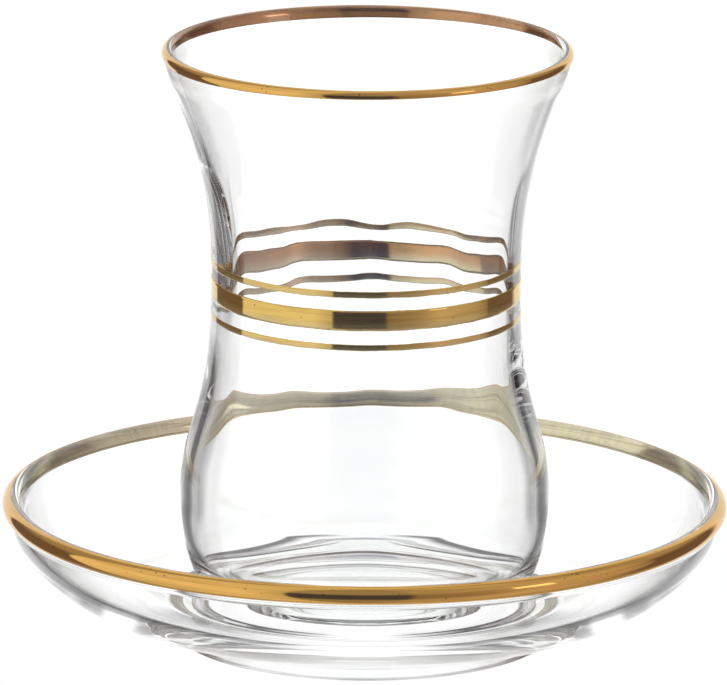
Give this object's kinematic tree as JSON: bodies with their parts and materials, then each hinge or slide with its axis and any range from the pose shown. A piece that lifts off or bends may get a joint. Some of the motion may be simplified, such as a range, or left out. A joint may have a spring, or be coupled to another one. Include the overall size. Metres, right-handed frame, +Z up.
{
  "type": "turkish tea glass with saucer",
  "caption": "Waisted clear tea glass with a gilt lip and gilt waist bands, standing on a clear glass saucer with a gilt rim and a low foot ring.",
  "frame": {"origin": "on the table, under the middle of the saucer's foot ring", "axes": "+Z up along the axis of the glass and saucer; the side that the picture shows faces -Y, with +X to its right"},
  "size_m": [0.11, 0.11, 0.0909],
  "materials": {
    "saucer_glass": "clear, smooth pressed glass",
    "clear_glass": "clear, smooth outside, soft optic panels inside",
    "rim_gilt": "bright fired gilding on the outer side of a round rim",
    "gilt": "bright fired gilding on the outer side of a round lip",
    "band_gilt": "bright fired gilding in thin bands"
  },
  "bodies": {
    "root": {"saucer": "saucer_glass", "saucer_rim_gilt": "rim_gilt", "tea_glass": "clear_glass", "glass_rim_gilt": "gilt", "waist_band_upper": "band_gilt", "waist_band_middle": "band_gilt", "waist_band_lower": "band_gilt"}
  },
  "joints": []
}
